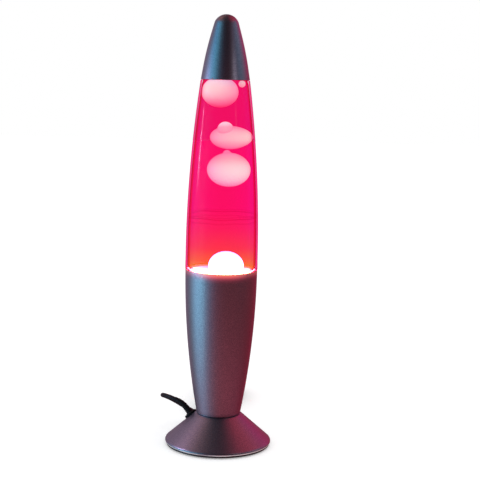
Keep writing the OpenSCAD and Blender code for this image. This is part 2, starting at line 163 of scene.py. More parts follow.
def facing(tree, stops):
    """A colour ramp from looking straight at the surface (0) to looking along it (1)."""
    edge = add(tree, "ShaderNodeLayerWeight", Blend=0.5)
    return ramp(tree, edge.outputs["Facing"], stops)


def bump(tree, shader, source, strength):
    node = add(tree, "ShaderNodeBump", Strength=strength, Distance=GRAIN_DEPTH)
    tree.links.new(source, node.inputs["Height"])
    tree.links.new(node.outputs["Normal"], shader.inputs["Normal"])


def grained(name, dark, light, rough_low, rough_high, scale, metallic=0.0, relief=0.15):
    """A surface whose colour and roughness wander a little and whose grain is bumped."""
    material, tree, shader = new_material(name)
    fine = noise(tree, scale, detail=4)
    broad = noise(tree, scale * 0.04, detail=3)
    tree.links.new(ramp(tree, fine, [(0.35, dark), (0.65, light)]), shader.inputs["Base Color"])
    tree.links.new(span(tree, broad, 0.3, 0.7, rough_low, rough_high), shader.inputs["Roughness"])
    shader.inputs["Metallic"].default_value = metallic
    bump(tree, shader, fine, relief)
    return material


def mix_colour(tree, factor, first, second, blend="MIX"):
    node = add(tree, "ShaderNodeMix", data_type="RGBA", blend_type=blend)
    for socket, value in ((node.inputs[0], factor), (node.inputs[6], first), (node.inputs[7], second)):
        if hasattr(value, "is_output"):
            tree.links.new(value, socket)
        else:
            socket.default_value = value
    return node.outputs[2]


def gunmetal(name, glow_at=None, painted_highlight_below=None):
    """Dark metallic lacquer with a fine sparkle.

    glow_at is the height of a rim lit from inside, and that glow is painted as red emission. Below the
    bright-edge height the lower edge is a painted highlight: pale, patchy and less metallic.
    """
    material, tree, shader = new_material(name)
    coords = object_coords(tree)
    fine = noise(tree, 1500, detail=4, roughness=0.6, coords=coords)
    lacquer = ramp(tree, fine, [(0.3, linear(110, 112, 124)), (0.52, linear(136, 138, 148)),
                                (0.75, linear(172, 174, 184))])
    rough = span(tree, fine, 0.3, 0.75, 0.44, 0.3)
    level = height(tree)
    if painted_highlight_below:
        # painted highlight: a pale, less metallic band along the lower edge, in patches
        edge = span(tree, level, painted_highlight_below, painted_highlight_below + 0.5 * MM, 1, 0)
        highlight_patches = span(tree, noise(tree, 45, coords=coords), 0.35, 0.6)
        painted_edge_highlight = mix_colour(tree, highlight_patches, linear(150, 148, 152), linear(215, 214, 216))
        lacquer = mix_colour(tree, edge, lacquer, painted_edge_highlight)
        tree.links.new(span(tree, edge, 0, 1, 1, 0.25), shader.inputs["Metallic"])
    else:
        shader.inputs["Metallic"].default_value = 1
    tree.links.new(lacquer, shader.inputs["Base Color"])
    tree.links.new(rough, shader.inputs["Roughness"])
    if glow_at:
        # painted glow: red emission just under the rim, stronger toward the front
        painted_rim_glow = ramp(tree, span(tree, level, glow_at - RIM_GLOW, glow_at), [
            (0.0, [0, 0, 0, 1]), (0.3, [0.06, 0.004, 0.01, 1]), (0.5, [0.22, 0.02, 0.035, 1]),
            (0.68, [0.55, 0.06, 0.08, 1]), (0.85, [0.85, 0.14, 0.11, 1]), (1.0, [0.95, 0.2, 0.14, 1]),
        ])
        painted_glow_falloff = span(tree, axis(tree, "Y", coords), -33 * MM, -24 * MM, 1, 0.3)
        tree.links.new(painted_rim_glow, shader.inputs["Emission Color"])
        tree.links.new(painted_glow_falloff, shader.inputs["Emission Strength"])
    bump(tree, shader, fine, 0.12)
    return material


# ---- mesh helpers ----

SHARP_ANGLE = 35
SOFT_ANGLE = 80


def link_mesh(name, mesh, material, angle=SHARP_ANGLE):
    mesh.shade_smooth()
    mesh.set_sharp_from_angle(angle=math.radians(angle))
    piece = bpy.data.objects.new(name, mesh)
    scene.collection.objects.link(piece)
    mesh.materials.append(material)
    return piece


def bridge(bm, first, second, count):
    """Faces between two rings. A ring of one vertex is a pole."""
    for k in range(count):
        corners = [first[k % len(first)], first[(k + 1) % len(first)]]
        corners += [second[(k + 1) % len(second)], second[k % len(second)]]
        bm.faces.new(list(dict.fromkeys(corners)))


def lathe_into(bm, profile, steps=144, place=Matrix()):
    """Adds a closed turned shape: profile is a closed loop of (radius, height) in metres."""
    rings = []
    for radius, level in profile:
        if radius < 1e-7:
            rings.append([bm.verts.new(place @ Vector((0, 0, level)))])
            continue
        angles = [2 * math.pi * k / steps for k in range(steps)]
        spots = [(radius * math.cos(a), radius * math.sin(a), level) for a in angles]
        rings.append([bm.verts.new(place @ Vector(spot)) for spot in spots])
    for first, second in zip(rings, rings[1:] + rings[:1]):
        if len(first) > 1 or len(second) > 1:
            bridge(bm, first, second, steps)


def finish_mesh(bm, name):
    bmesh.ops.recalc_face_normals(bm, faces=bm.faces)
    mesh = bpy.data.meshes.new(name)
    bm.to_mesh(mesh)
    bm.free()
    return mesh


def place_piece(bm, name, material, body, node, angle=SHARP_ANGLE):
    """Turns the mesh into a piece that rides a body and stands for one CAD node."""
    piece = link_mesh(name, finish_mesh(bm, name), material, angle)
    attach(piece, body)
    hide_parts(node)


def lathe(name, profile_mm, material, body, node, angle=SHARP_ANGLE):
    """A turned piece. The profile is in millimetres."""
    bm = bmesh.new()
    lathe_into(bm, [(r * MM, z * MM) for r, z in profile_mm])
    place_piece(bm, name, material, body, node, angle)


def arc(centre, radius, start, end, count):
    """Points on an arc in the (radius, height) plane, angles in degrees."""
    angles = [math.radians(start + (end - start) * i / count) for i in range(count + 1)]
    return [(centre[0] + radius * math.cos(a), centre[1] + radius * math.sin(a)) for a in angles]


def steps_between(low, high, count):
    return [low + (high - low) * i / count for i in range(count + 1)]


def sweep_into(bm, route_mm, r_start, r_end, ribs, sides=24):
    """Adds a closed tapered tube with shallow ribs along a route. All sizes are in millimetres."""
    points = [Vector(p) * MM for p in route_mm]
    rings = []
    for i, place in enumerate(points):
        share = i / (len(points) - 1)
        along = (points[min(i + 1, len(points) - 1)] - points[max(i - 1, 0)]).normalized()
        across = along.cross(Vector((0, 0, 1))).normalized()
        up = across.cross(along)
        radius = (r_start + (r_end - r_start) * share + (ribs if i % 4 < 2 else 0)) * MM
        angles = [2 * math.pi * k / sides for k in range(sides)]
        around = [math.cos(a) * across + math.sin(a) * up for a in angles]
        rings.append([bm.verts.new(place + radius * way) for way in around])
    for first, second in zip(rings, rings[1:]):
        bridge(bm, first, second, sides)
    bm.faces.new(rings[0])
    bm.faces.new(rings[-1])


def smooth_route(points, steps):
    """Catmull-Rom points through a route."""
    vectors = [Vector(p) for p in points]
    ends = [2 * vectors[0] - vectors[1]] + vectors + [2 * vectors[-1] - vectors[-2]]
    out = []
    for a, b, c, d in zip(ends, ends[1:], ends[2:], ends[3:]):
        for i in range(steps):
            t = i / steps
            out.append(0.5 * (2 * b + (c - a) * t + (2 * a - 5 * b + 4 * c - d) * t ** 2
                              + (3 * b - a - 3 * c + d) * t ** 3))
    return out + [vectors[-1]]


# ---- the mains lead ----

LEAD_D = 4.4
BOOT_ROUTE = [
    (-27.2, 11, 26), (-29, 11.7, 28.3), (-31.2, 12.6, 30.8), (-34.4, 14.1, 33.9), (-38.6, 16.3, 36.3),
    (-43.2, 19.1, 37.6),
]
LEAD_ROUTE = [
    (-43.2, 19.1, 37.6), (-47.6, 22.6, 38.4), (-51.6, 27, 38.4), (-54.6, 32.4, 37.6), (-56, 38.6, 36),
    (-55.4, 45, 33.8), (-52.4, 50.8, 31), (-47.8, 55.4, 27.6), (-42.2, 59.2, 23.4), (-36.2, 62.6, 18.8),
    (-30.2, 66, 14.2), (-24.6, 70, 10), (-19.8, 74.8, 6.8), (-16, 80.4, 5), (-13.8, 86.2, 4.6),
    (-13, 91.8, 5),
]
SWITCH_ROUTE = [(-13, 102, 5), (-13, 113, 5), (-13, 124, 5)]
FEED_ROUTE = [(-13, 134.2, 5), (-13.2, 140, 4.6), (-14.2, 146, 3.8), (-15.4, 152, 3.3), (-16, 158, 3.2)]
TAIL_ROUTE = [
    (23.6, 184, 20.8), (23.3, 179.7, 21.2), (22.4, 175.5, 22.3), (20.9, 171.4, 24), (18.9, 167.6, 25.1),
    (16.4, 164.1, 25.5),
]
LANE_IN = 3 * LEAD_D
LANE_OUT = LANE_IN + LEAD_D
HANK_X = 6
HANK_LOW_Y = 157
HANK_RUN = 27
HANK_FLOOR = 1 + LEAD_D / 2
HANK_SLOTS = [
    (LANE_OUT, 0), (LANE_IN, 0), (LANE_IN, 1), (LANE_OUT, 1), (LANE_OUT, 2), (LANE_IN, 2), (LANE_IN, 3),
    (LANE_OUT, 3), (LANE_OUT, 4),
]
HANK_STEPS = 6
CHANGE_SHARE = 0.76
CHANGE_SHIFT = 0.03
BEND_STEP = 15


def ease(t):
    return (1 - math.cos(math.pi * min(max(t, 0), 1))) / 2


def hank_bend(y, lane, z, angles):
    """One round end of a turn, over a range of angles in degrees."""
    turns = [math.radians(a) for a in angles]
    return [(HANK_X + lane * math.cos(t), y + lane * math.sin(t), z) for t in turns]


def hank_route():
    """The wound turns. The lead changes lane or layer only on the left run, each turn a little earlier."""
    points = []
    lane, level = LANE_OUT + LEAD_D, 0
    last = len(HANK_SLOTS) - 1
    for turn, (next_lane, next_level) in enumerate(HANK_SLOTS):
        begin = CHANGE_SHIFT * (last - turn)
        for step in range(2 if turn == 0 else 1, HANK_STEPS + 1):
            share = ease((step / HANK_STEPS - begin) / CHANGE_SHARE)
            x = lane + (next_lane - lane) * share
            z = HANK_FLOOR + LEAD_D * (level + (next_level - level) * share)
            points.append((HANK_X - x, HANK_LOW_Y + HANK_RUN * step / HANK_STEPS, z))
        lane, level = next_lane, next_level
        z = HANK_FLOOR + LEAD_D * level
        points += hank_bend(HANK_LOW_Y + HANK_RUN, lane, z, range(180 - BEND_STEP, 0, -BEND_STEP))
        if turn == last:
            break
        points += [(HANK_X + lane, HANK_LOW_Y + HANK_RUN * t, z) for t in (1, 0.66, 0.33, 0)]
        points += hank_bend(HANK_LOW_Y, lane, z, range(-BEND_STEP, -181, -BEND_STEP))
    return points


def route_curve(name, route, radius_mm, material):
    curve = bpy.data.curves.new(name, "CURVE")
    curve.dimensions = "3D"
    curve.bevel_depth = radius_mm * MM
    curve.bevel_resolution = 5
    curve.resolution_u = 5
    curve.use_fill_caps = True
    spline = curve.splines.new("BEZIER")
    spline.bezier_points.add(len(route) - 1)
    for point, place in zip(spline.bezier_points, route):
        point.co = Vector(place) * MM
        point.handle_left_type = point.handle_right_type = "AUTO"
    curve.materials.append(material)
    piece = bpy.data.objects.new(name, curve)
    scene.collection.objects.link(piece)
    return piece


def dulled(material):
    """Less shine than plain plastic has."""
    material.node_tree.nodes["Principled BSDF"].inputs["Specular IOR Level"].default_value = 0.2
    return material


def lead_plastic():
    return dulled(grained("lead_pvc", linear(3, 3, 4), linear(9, 9, 10), 0.4, 0.5, 900, relief=0.05))


def black_rubber(name):
    return dulled(grained(name, linear(4, 4, 5), linear(12, 12, 13), 0.55, 0.7, 1500, relief=0.1))


def make_lead():
    route = LEAD_ROUTE + SWITCH_ROUTE + FEED_ROUTE + hank_route() + TAIL_ROUTE
    lead = route_curve("mains_lead", route, LEAD_D / 2, lead_plastic())
    strands = ("power_cord", "switch_cord", "cord_hank", "plug_tail")
    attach(lead, "base")
    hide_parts(*strands)


make_lead()


# ---- room ----

def direction_ramp(tree, around, stops):
    """The colour seen round the lamp. The stops are (degrees to the right of the front, colour)."""
    return ramp(tree, around, [(0.5 + degrees / 360, [*colour, 1]) for degrees, colour in stops])


def blend_by(tree, value, low, high, first, second):
    return mix_colour(tree, span(tree, value, low, high), first, second)


def make_room():
    """White for the eye and for matt surfaces. Glossy ones mirror a dim room with soft tinted lamps."""
    world = bpy.data.worlds.new("room")
    world.use_nodes = True
    scene.world = world
    tree = world.node_tree
    tree.nodes.clear()
    way = add(tree, "ShaderNodeTexCoord").outputs["Generated"]
    turn = add(tree, "ShaderNodeMath", operation="ARCTAN2")
    tree.links.new(axis(tree, "X", way), turn.inputs[0])
    tree.links.new(span(tree, axis(tree, "Y", way), -1, 1, 1, -1), turn.inputs[1])
    around = span(tree, turn.outputs[0], -math.pi, math.pi)
    up = axis(tree, "Z", way)
    lowest = direction_ramp(tree, around, ROOM_LOWEST)
    low = direction_ramp(tree, around, ROOM_LOW)
    middle = direction_ramp(tree, around, ROOM_MIDDLE)
    high = direction_ramp(tree, around, ROOM_HIGH)
    colour = blend_by(tree, up, -0.48, -0.34, lowest, low)
    colour = blend_by(tree, up, 0.0, 0.2, colour, middle)
    colour = blend_by(tree, up, 0.5, 0.68, colour, high)
    colour = blend_by(tree, up, 0.88, 0.98, colour, ROOM_TOP)
    mirrored = add(tree, "ShaderNodeBackground")
    tree.links.new(colour, mirrored.inputs["Color"])
    matt = add(tree, "ShaderNodeBackground", Color=WHITE, Strength=ROOM_LIGHT)
    seen = add(tree, "ShaderNodeBackground", Color=WHITE, Strength=1)
    path = add(tree, "ShaderNodeLightPath")
    inner = add(tree, "ShaderNodeMixShader")
    outer = add(tree, "ShaderNodeMixShader")
    tree.links.new(path.outputs["Is Diffuse Ray"], inner.inputs[0])
    tree.links.new(mirrored.outputs[0], inner.inputs[1])
    tree.links.new(matt.outputs[0], inner.inputs[2])
    tree.links.new(path.outputs["Is Camera Ray"], outer.inputs[0])
    tree.links.new(inner.outputs[0], outer.inputs[1])
    tree.links.new(seen.outputs[0], outer.inputs[2])
    tree.links.new(outer.outputs[0], add(tree, "ShaderNodeOutputWorld").inputs["Surface"])


ROOM_LIGHT = 1.1
ROOM_TOP = [0.07, 0.055, 0.065, 1]
ROOM_LOWEST = [
    (-180, (0.2, 0.14, 0.17)), (-140, (0.18, 0.13, 0.17)), (-97, (0.78, 0.34, 0.48)),
    (-65, (0.7, 0.3, 0.4)), (-35, (0.57, 0.25, 0.31)), (0, (0.75, 0.17, 0.22)), (47, (0.78, 0.16, 0.22)),
    (97, (0.72, 0.13, 0.2)), (116, (0.6, 0.07, 0.13)), (137, (0.3, 0.045, 0.08)), (180, (0.2, 0.14, 0.17)),
]
ROOM_LOW = [
    (-180, (0.3, 0.2, 0.25)), (-140, (0.38, 0.22, 0.29)), (-112, (0.27, 0.3, 0.32)),
    (-92, (0.75, 1.6, 2.1)), (-66, (0.9, 2.2, 2.8)), (-48, (0.36, 0.4, 0.6)), (-18, (0.38, 0.1, 0.14)),
    (0, (0.3, 0.075, 0.09)),
    (70, (0.26, 0.052, 0.058)), (100, (0.35, 0.05, 0.06)), (120, (0.45, 0.045, 0.068)),
    (150, (0.62, 0.04, 0.09)), (180, (0.3, 0.2, 0.25)),
]
ROOM_MIDDLE = [
    (-180, (0.4, 0.28, 0.36)), (-135, (0.5, 0.33, 0.42)), (-105, (0.25, 0.35, 0.42)),
    (-88, (0.17, 0.95, 1.6)), (-58, (0.2, 1, 1.3)), (-44, (0.06, 0.3, 0.4)), (-30, (0.015, 0.03, 0.05)),
    (-10, (0.01, 0.006, 0.012)),
    (40, (0.004, 0.01, 0.015)), (60, (0.07, 0.16, 0.24)), (80, (0.2, 0.42, 0.55)),
    (100, (0.35, 0.5, 0.65)), (116, (0.6, 0.25, 0.4)), (135, (1.1, 0.12, 0.4)), (155, (0.9, 0.06, 0.2)),
    (180, (0.4, 0.28, 0.36)),
]
ROOM_HIGH = [
    (-180, (0.2, 0.11, 0.12)), (-125, (0.85, 0.4, 0.34)), (-80, (0.4, 0.21, 0.2)),
    (-30, (0.05, 0.045, 0.05)), (40, (0.05, 0.04, 0.045)), (85, (0.8, 0.1, 0.17)), (122, (1.2, 0.13, 0.2)),
    (160, (0.35, 0.06, 0.08)), (180, (0.2, 0.11, 0.12)),
]


FLOOR_CORNERS = ((-3, -3), (3, -3), (3, 5), (-3, 5))
FLOOR_GLOW = 0.3


def make_floor():
    bm = bmesh.new()
    bm.faces.new([bm.verts.new((x, y, 0)) for x, y in FLOOR_CORNERS])
    material, tree, shader = new_material("table_top")
    shade = noise(tree, 30, detail=2)
    white = ramp(tree, shade, [(0.3, [0.78, 0.78, 0.78, 1]), (0.7, [0.8, 0.8, 0.8, 1])])
    tree.links.new(white, shader.inputs["Base Color"])
    shader.inputs["Roughness"].default_value = 0.9
    shader.inputs["Specular IOR Level"].default_value = 0
    shader.inputs["Emission Color"].default_value = WHITE
    shader.inputs["Emission Strength"].default_value = FLOOR_GLOW
    floor = link_mesh("table_top", finish_mesh(bm, "table_top"), material)
    floor.visible_glossy = False
    floor.visible_shadow = False


def make_strip(name, place, width, tall, watts, colour):
    """A narrow upright light, aimed level at the lamp, that only glossy surfaces show."""
    data = bpy.data.lights.new(name, "AREA")
    data.shape = "RECTANGLE"
    data.size = width
    data.size_y = tall
    data.energy = watts
    data.color = colour
    strip = bpy.data.objects.new(name, data)
    strip.location = place
    strip.rotation_euler = Vector((-place[0], -place[1], 0)).to_track_quat("-Z", "Y").to_euler()
    strip.visible_diffuse = False
    strip.visible_camera = False
    scene.collection.objects.link(strip)


def make_lights():
    make_strip("strip_left", (-0.5, 0.02, 0.31), 0.012, 0.14, 0.8, (0.9, 0.6, 1))
    make_strip("strip_right", (0.36, -0.36, 0.45), 0.012, 0.2, 0.12, (1, 0.85, 0.95))


make_room()
make_floor()
make_lights()


# ---- foot and cup ----

FOOT_R = 51
SEAM_Z = 31
DECK_R = 21.5
METAL = 1.2
FOOT_LOW = 3
BRIGHT_Z = 3.7
CONE_LOW = Vector((FOOT_R - 0.7, 5.5))
CONE_HIGH = Vector((DECK_R, SEAM_Z))
CONE_DIR = (CONE_LOW - CONE_HIGH).normalized()
CONE_OUT = Vector((-CONE_DIR.y, CONE_DIR.x))
HOLE_R = 5.2
CUP_R = 34.2
CUP_CURVE = 1500
CUP_RIM_Z = 171.6


def cup_r(z):
    """The cup's radius outside, which shrinks ever faster below the rim."""
    return CUP_R - (CUP_RIM_Z - z) ** 2 / CUP_CURVE


def make_foot():
    side_in = CONE_HIGH - METAL * CONE_OUT
    profile = [(HOLE_R, SEAM_Z), (DECK_R - 0.7, SEAM_Z), (DECK_R - 0.1, SEAM_Z - 0.15)]
    profile += [tuple(CONE_HIGH + CONE_DIR * along) for along in steps_between(0.8, 36.8, 12)]
    profile += [tuple(CONE_LOW - CONE_DIR * 0.7), (FOOT_R - 0.35, 5.15), (FOOT_R - 0.05, 4.6)]
    profile += [(FOOT_R, 4.2), (FOOT_R, FOOT_LOW + 0.5), (FOOT_R - 0.15, FOOT_LOW + 0.15)]
    profile += [(FOOT_R - 0.5, FOOT_LOW), (FOOT_R - METAL, FOOT_LOW), (FOOT_R - METAL, 4.4)]
    profile += [tuple(CONE_LOW - METAL * CONE_OUT)]
    profile += [(side_in[0] - 0.4, SEAM_Z - METAL), (HOLE_R, SEAM_Z - METAL)]
    # the foot's lower edge carries a painted highlight
    lacquer = gunmetal("gunmetal_foot", painted_highlight_below=BRIGHT_Z * MM)
    lathe("foot_skin", profile, lacquer, "base", "foot_shell")


def make_cup():
    outer = [(cup_r(z), z) for z in steps_between(SEAM_Z + 0.9, CUP_RIM_Z - 0.7, 40)]
    inner = [(cup_r(z) - METAL, z) for z in steps_between(CUP_RIM_Z - 1.1, SEAM_Z + 5, 30)]
    bottom = cup_r(SEAM_Z)
    profile = [(HOLE_R, SEAM_Z), (bottom - 1, SEAM_Z), (bottom - 0.35, SEAM_Z + 0.12)]
    profile += [(bottom - 0.02, SEAM_Z + 0.45)] + outer
    profile += [(34.05, CUP_RIM_Z - 0.25), (33.7, CUP_RIM_Z), (33.3, CUP_RIM_Z), (33.02, CUP_RIM_Z - 0.3)]
    profile += inner + [(bottom - METAL - 1, SEAM_Z + METAL), (HOLE_R, SEAM_Z + METAL)]
    # the cup's rim carries a painted red glow
    lacquer = gunmetal("gunmetal_cup", glow_at=CUP_RIM_Z * MM)
    lathe("cup_skin", profile, lacquer, "base", "base_shell")


GLAND_TURN = math.radians(158)
GLAND_ALONG = 9.2


def make_strain_relief():
    """A round flange against the foot's side and a tapered, ribbed boot round the lead."""
    gland = CONE_HIGH + GLAND_ALONG * CONE_DIR
    tilt = math.atan2(CONE_OUT.x, CONE_OUT.y)
    place = (
        Matrix.Rotation(GLAND_TURN, 4, "Z")
        @ Matrix.Translation((gland.x * MM, 0, gland.y * MM))
        @ Matrix.Rotation(tilt, 4, "Y")
    )
    flange = [(0, -0.9), (6.3, -0.9), (6.5, -0.6), (6.5, 1.2)] + arc((5.7, 1.4), 0.8, 10, 90, 5)
    flange += [(4.4, 2.3), (4, 2.9), (0, 3)]
    bm = bmesh.new()
    lathe_into(bm, [(r * MM, z * MM) for r, z in flange], 64, place)
    sweep_into(bm, smooth_route(BOOT_ROUTE, 6), 3.2, 2.35, 0.15)
    place_piece(bm, "lead_boot", black_rubber("boot_rubber"), "base", "strain_relief")


make_foot()
make_cup()
make_strain_relief()


# ---- cap ----

CAP_LOW = 350
CAP_TOP = 410
CAP_RIM = Vector((22.9, CAP_LOW))
CAP_METAL = 1
CAP_TIP_R = 12.2
CAP_TIP_Z = CAP_TOP - CAP_TIP_R
JOIN_ANGLE = math.radians(26)
CAP_JOIN = Vector((CAP_TIP_R * math.cos(JOIN_ANGLE), CAP_TIP_Z + CAP_TIP_R * math.sin(JOIN_ANGLE)))


def cap_side(t):
    """The slightly bulging side, from the rim (0) to the round tip (1)."""
    return CAP_RIM.lerp(CAP_JOIN, t) + Vector((1.1 * math.sin(math.pi * t), 0))


def make_cap():
    outer = [tuple(cap_side(t)) for t in steps_between(0.03, 1, 24)]
    outer += arc((0, CAP_TIP_Z), CAP_TIP_R, 31, 86, 11) + [(0, CAP_TOP)]
    inner = [(0, CAP_TOP - CAP_METAL)] + arc((0, CAP_TIP_Z), CAP_TIP_R - CAP_METAL, 84, 30, 9)
    inner += [(cap_side(t).x - CAP_METAL, cap_side(t).y) for t in steps_between(1, 0.03, 20)]
    rim = [(22, CAP_LOW + 0.2), (22.2, CAP_LOW), (22.6, CAP_LOW), (22.85, CAP_LOW + 0.2)]
    lathe("cap_skin", outer + inner + rim, gunmetal("gunmetal_cap"), "top_cap", "top_cap")


make_cap()


# ---- bottle ----

GLASS_WALL = 1.8
GLASS_R = 34.3
GLASS_CURVE = 2400
BOTTLE_LOW = 145.1
HOLLOW_LOW = BOTTLE_LOW + 3
FILL_GAP = 0.05
POOL_Z = 170
LIQUID_Z = 357
WAIST_Z = 185
LEDGE_Z = 349.9
MOUTH_Z = 377
GLOW_TOP = 232
RIPPLE_LOW = 214
RIPPLE_HIGH = 234
STEP_Z = CUP_RIM_Z + 0.25
INSERT_R = cup_r(BOTTLE_LOW) - METAL - 0.4
FILL_R = INSERT_R - GLASS_WALL - FILL_GAP


def glass_side(z):
    """The bottle's radius outside, widest at its waist."""
    return GLASS_R - (z - WAIST_Z) ** 2 / GLASS_CURVE


def glass_hollow(clear):
    """The inside of the bottle from the bottom up to the mouth, kept clear of the glass by a gap."""
    foot = INSERT_R - GLASS_WALL - clear
    points = [(foot - 2, HOLLOW_LOW), (foot - 0.6, HOLLOW_LOW + 0.6), (foot, HOLLOW_LOW + 2)]
    points += [(foot, POOL_Z), (foot, STEP_Z), (32.4 - clear, STEP_Z + 3)]
    points += [(glass_side(z) - GLASS_WALL - clear, z) for z in steps_between(178, LEDGE_Z - 4.5, 40)]
    points += [(20.9 - clear, LEDGE_Z - 1.4), (20 - clear, LEDGE_Z + 0.8), (18.4 - clear, LEDGE_Z + 3.4)]
    points += [(14 - clear, LEDGE_Z + 11.4), (11.2 - clear, LEDGE_Z + 14.6)]
    return points + [(10.1 - clear, LEDGE_Z + 16.4), (9.5 - clear, LEDGE_Z + 20)]


SHINE = [0.35, 0.35, 0.35, 1]
DYE = [1, 0, 0.554, 1]
DYE_DENSITY = 80


def clear_shader(name, ior, shine_rough, tint, glow=None):
    """Clear material: straight see-through plus a shine that grows toward the edge.

    tint and glow build the colours of what passes through and of what the material gives off.
    """
    material = bpy.data.materials.new(name)
    material.use_nodes = True
    tree = material.node_tree
    tree.nodes.clear()
    through = add(tree, "ShaderNodeBsdfTransparent")
    tree.links.new(tint(tree), through.inputs["Color"])
    shine = add(tree, "ShaderNodeBsdfGlossy", Roughness=shine_rough, Color=SHINE)
    mix = add(tree, "ShaderNodeMixShader")
    outside = span(tree, add(tree, "ShaderNodeNewGeometry").outputs["Backfacing"], 0, 1, 1, 0)
    share = add(tree, "ShaderNodeMath", operation="MULTIPLY")
    tree.links.new(add(tree, "ShaderNodeFresnel", IOR=ior).outputs[0], share.inputs[0])
    tree.links.new(outside, share.inputs[1])
    tree.links.new(share.outputs[0], mix.inputs[0])
    tree.links.new(through.outputs[0], mix.inputs[1])
    tree.links.new(shine.outputs[0], mix.inputs[2])
    surface = mix.outputs[0]
    if glow:
        light = add(tree, "ShaderNodeEmission")
        tree.links.new(glow(tree), light.inputs["Color"])
        both = add(tree, "ShaderNodeAddShader")
        tree.links.new(surface, both.inputs[0])
        tree.links.new(light.outputs[0], both.inputs[1])
        surface = both.outputs[0]
    tree.links.new(surface, add(tree, "ShaderNodeOutputMaterial").inputs["Surface"])
    return material


def glass_tint(tree):
    """Clear, but tinted toward the edge, where the bent light of the liquid fills the glass wall.

    Three faint level lines stand for the flow marks in the liquid.
    """
    grain = ramp(tree, noise(tree, 60, detail=2), [(0.3, [0.985, 0.985, 0.985, 1]), (0.7, WHITE)])
    faint, dark = [0.97, 0.88, 0.92, 1], [0.94, 0.8, 0.84, 1]
    level = wandering_height(tree, 28, 1, 5 * MM)
    ripple = ramp(tree, span(tree, level, RIPPLE_LOW * MM, RIPPLE_HIGH * MM), [
        (0.0, WHITE), (0.3, WHITE), (0.35, faint), (0.4, WHITE), (0.5, WHITE), (0.55, dark), (0.6, WHITE),
        (0.64, faint), (0.68, WHITE), (1.0, WHITE),
    ])
    pink = facing(tree, [
        (0.38, WHITE), (0.6, [1, 0.8, 0.9, 1]), (0.68, [1, 0.2, 0.48, 1]), (1.0, [1, 0.16, 0.5, 1]),
    ])
    wet = span(tree, height(tree), (LIQUID_Z + 4) * MM, LIQUID_Z * MM)
    return mix_colour(tree, wet, grain, mix_colour(tree, 1, pink, ripple, "MULTIPLY"))


def make_glass():
    outer = [(0, BOTTLE_LOW), (INSERT_R - 2.5, BOTTLE_LOW), (INSERT_R - 0.8, BOTTLE_LOW + 0.8)]
    outer += [(INSERT_R, BOTTLE_LOW + 2.5), (INSERT_R, STEP_Z), (34, STEP_Z), (GLASS_R, STEP_Z + 0.25)]
    outer += [(34.4, STEP_Z + 0.8), (34.4, STEP_Z + 6)]
    outer += [(glass_side(z), z) for z in steps_between(181, LEDGE_Z - 0.8, 46)]
    outer += [(22.4, LEDGE_Z - 0.1), (21, LEDGE_Z), (20.4, LEDGE_Z + 1.4), (19.6, LEDGE_Z + 4)]
    outer += [(15.6, LEDGE_Z + 12), (13.2, LEDGE_Z + 14.6), (12.2, LEDGE_Z + 17), (12.2, MOUTH_Z - 4)]
    outer += [(12.8, MOUTH_Z - 3.6), (13, MOUTH_Z - 3), (13, MOUTH_Z - 0.7), (12.5, MOUTH_Z)]
    inner = [(9.6, MOUTH_Z)] + glass_hollow(0)[::-1] + [(0, HOLLOW_LOW)]
    material = clear_shader("lamp_glass", 1.24, 0.1, glass_tint)
    lathe("bottle_glass", outer + inner, material, "bottle", "glass_bottle", angle=30)


def liquid_tint(tree):
    """Clear on the near side. The far wall takes most of what is left of green and blue, except low down,
    where it lets green through as painted orange light from the glowing wax.
    """
    # painted light: toward the pool the far wall passes green, so the liquid turns orange there
    far = ramp(tree, span(tree, height(tree), POOL_Z * MM, LIQUID_Z * MM), [
        (0.0, [0.9, 0.9, 0.2, 1]), (0.12, [0.9, 0.6, 0.5, 1]), (0.3, [0.9, 0.4, 0.9, 1]),
        (0.6, [0.9, 0.25, 0.75, 1]), (1.0, [0.9, 0.12, 0.42, 1]),
    ])
    thin = facing(tree, [
        (0.02, WHITE), (0.13, [1, 0.5, 0.85, 1]), (0.3, [1, 0.22, 0.65, 1]), (0.5, [1, 0.16, 0.6, 1]),
    ])
    side = add(tree, "ShaderNodeNewGeometry").outputs["Backfacing"]
    return mix_colour(tree, side, WHITE, mix_colour(tree, 1, far, thin, "MULTIPLY"))


def liquid_glow(tree):
    """The dye glows orange where the lit wax shines into it."""
    return ramp(tree, span(tree, height(tree), POOL_Z * MM, GLOW_TOP * MM), [
        (0.0, [0.0, 0.24, 0.01, 1]), (0.1, [0.0, 0.18, 0.012, 1]), (0.22, [0.0, 0.09, 0.015, 1]),
        (0.4, [0.0, 0.03, 0.025, 1]), (0.7, [0.0, 0.009, 0.03, 1]), (1.0, [0.0, 0.002, 0.02, 1]),
    ])


def make_liquid():
    wall = [p for p in glass_hollow(FILL_GAP) if POOL_Z < p[1] < LIQUID_Z]
    profile = [(0, POOL_Z + FILL_GAP), (FILL_R, POOL_Z + FILL_GAP)]
    profile += wall + [(16.9, LIQUID_Z), (0, LIQUID_Z)]
    material = clear_shader("liquid_pink", 1.04, 0.05, liquid_tint, liquid_glow)
    tree = material.node_tree
    dye = add(tree, "ShaderNodeVolumeAbsorption", Color=DYE, Density=DYE_DENSITY)
    tree.links.new(dye.outputs[0], tree.nodes["Material Output"].inputs["Volume"])
    lathe("pink_liquid", profile, material, "bottle", "lamp_liquid")


